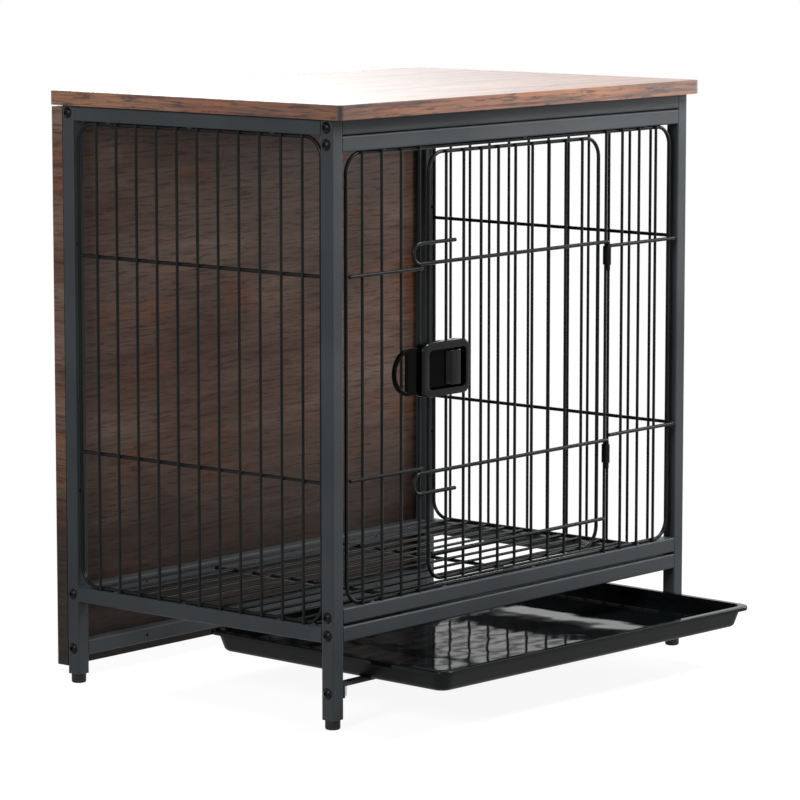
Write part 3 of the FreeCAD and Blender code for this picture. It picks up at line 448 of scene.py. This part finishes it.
# Each material with the beginnings of its nodes' names; the longest one that fits counts.
dressing = (
    (tubePaint, ("post_", "top_rail_", "floor_rail_", "front_top_rail", "door_top_rail",
                 "door_bottom_rail", "front_floor_rail", "rear_", "tray_strip")),
    (wirePaint, ("wire_panel_", "door", "hinge_clip_", "floor_grid")),
    (boltBlack, ("frame_bolts",)),
    (topWood, ("tabletop",)),
    (boardWood, ("back_panel",)),
    (latchPlastic, ("latch_housing", "latch_slider", "latch_back")),
    (footPlastic, ("foot_",)),
    (trayPlastic, ("tray",)),
    (zincSteel, ("latch_screws", "rail_nuts", "tabletop_screws", "back_panel_screws")),
)


def dressNodes():
    coats = {prefix: material for material, prefixes in dressing for prefix in prefixes}
    for nodeName in frame["nodes"]:
        best = max((prefix for prefix in coats if nodeName.startswith(prefix)), key=len)
        for slot in bpy.data.objects[nodeName].material_slots:
            slot.material = coats[best]


dressNodes()
print("frame dressed")

welds = {
    "bead": (0.0034, 0.0015, 0.0013), "segments": 12, "rings": 8, "cut": -0.25,
    "smoothness": 0.6, "ripple": 0.16, "rippleRate": 5200,
    # turns in degrees, for beads on top of a rail and under one
    "turns": {"front": (0, 0, 0), "frontUnder": (180, 0, 0),
              "side": (0, 0, 90), "sideUnder": (180, 0, 90)},
    "rows": (
        # way, the fixed coordinates, and the places along the rail
        ("front", -0.1856, 0.1232, (-0.232, -0.118, 0.030, 0.214)),
        ("frontUnder", -0.1856, 0.5818, (-0.214, 0.012, 0.221)),
        ("side", -0.2920, 0.1047, (-0.112, 0.021, 0.118)),
        ("sideUnder", -0.2920, 0.5988, (-0.106, 0.008, 0.123)),
        ("side", 0.2920, 0.1047, (-0.112, 0.021, 0.118)),
        ("sideUnder", 0.2920, 0.5988, (-0.106, 0.008, 0.123)),
    ),
}


def weldBead():
    # A short raised bead with a flat underside and a ripple along it.
    bpy.ops.object.select_all(action="DESELECT")
    bpy.ops.mesh.primitive_uv_sphere_add(segments=welds["segments"], radius=1,
                                         ring_count=welds["rings"])
    bead = bpy.context.object
    bpy.ops.object.mode_set(mode="EDIT")
    bpy.ops.mesh.select_all(action="SELECT")
    bpy.ops.mesh.bisect(plane_co=(0, 0, welds["cut"]), plane_no=(0, 0, 1), use_fill=True,
                        clear_inner=True)
    bpy.ops.mesh.select_all(action="SELECT")
    bpy.ops.mesh.subdivide(number_cuts=1, smoothness=welds["smoothness"])
    bpy.ops.transform.resize(value=welds["bead"], center_override=(0, 0, 0))
    bpy.ops.object.mode_set(mode="OBJECT")
    for vertex in bead.data.vertices:
        swell = 1 + welds["ripple"] * math.sin(vertex.co.x * welds["rippleRate"])
        vertex.co.y *= swell
        vertex.co.z *= swell
    bpy.ops.object.shade_smooth()
    return bead


def placeWelds(body):
    first = weldBead()
    beads = []
    for way, across, height, places in welds["rows"]:
        for along in places:
            bead = first.copy()
            bead.data = first.data.copy()
            bpy.context.scene.collection.objects.link(bead)
            flat = (along, across) if way.startswith("front") else (across, along)
            bead.location = (*flat, height)
            bead.rotation_euler = [math.radians(turn) for turn in welds["turns"][way]]
            bead.select_set(True)
            beads.append(bead)
    first.select_set(False)
    bpy.context.view_layer.objects.active = beads[-1]
    bpy.ops.object.join()
    piece = bpy.context.object
    bpy.data.objects.remove(first)
    bpy.ops.object.transform_apply(location=True, rotation=True, scale=True)
    piece.name = body + "_welds"
    piece.data.materials.clear()
    piece.data.materials.append(tubePaint)
    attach(piece, body)


placeWelds("frame")
print("welds placed")

latch = {
    # angles in degrees
    "merge": 0.00002, "flatAngle": 1, "roundAngle": 50, "smoothAngle": 35, "segments": 3,
    "parts": (
        {"node": "latch_housing", "body": "door", "round": 0.0007},
        # only the thumb block stands in front of this plane
        {"node": "latch_slider", "body": "latch", "round": 0.0008, "plateFront": -0.1953},
    ),
}


def softenedCopy(part):
    # The moulded piece with its edges rounded as they come out of a mould.
    source = bpy.data.objects[part["node"]]
    piece = bpy.data.objects.new(part["node"] + "_moulded", source.data.copy())
    bpy.context.scene.collection.objects.link(piece)
    piece.data.transform(source.matrix_world)
    bpy.ops.object.select_all(action="DESELECT")
    piece.select_set(True)
    bpy.context.view_layer.objects.active = piece
    bpy.ops.object.mode_set(mode="EDIT")
    bpy.ops.mesh.select_all(action="SELECT")
    bpy.ops.mesh.remove_doubles(threshold=latch["merge"])
    bpy.ops.mesh.dissolve_limited(angle_limit=math.radians(latch["flatAngle"]))
    bpy.ops.object.mode_set(mode="OBJECT")
    edges = piece.modifiers.new("edges", "BEVEL")
    edges.width = part["round"]
    edges.segments = latch["segments"]
    edges.limit_method = "ANGLE"
    edges.angle_limit = math.radians(latch["roundAngle"])
    bpy.ops.object.modifier_apply(modifier="edges")
    bpy.ops.object.shade_smooth_by_angle(angle=math.radians(latch["smoothAngle"]))
    piece.data.materials.clear()
    piece.data.materials.append(latchPlastic)
    return piece


def finishLatch():
    for part in latch["parts"]:
        piece = softenedCopy(part)
        if "plateFront" in part:
            # The plate behind the thumb block takes the darker copy, painted shade of the
            # recess; the block keeps the latch plastic.
            piece.data.materials.append(slideShadedPlastic)
            for face in piece.data.polygons:
                if face.center.y > part["plateFront"]:
                    face.material_index = 1
        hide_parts(part["node"])
        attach(piece, part["body"])


finishLatch()
print("latch finished")
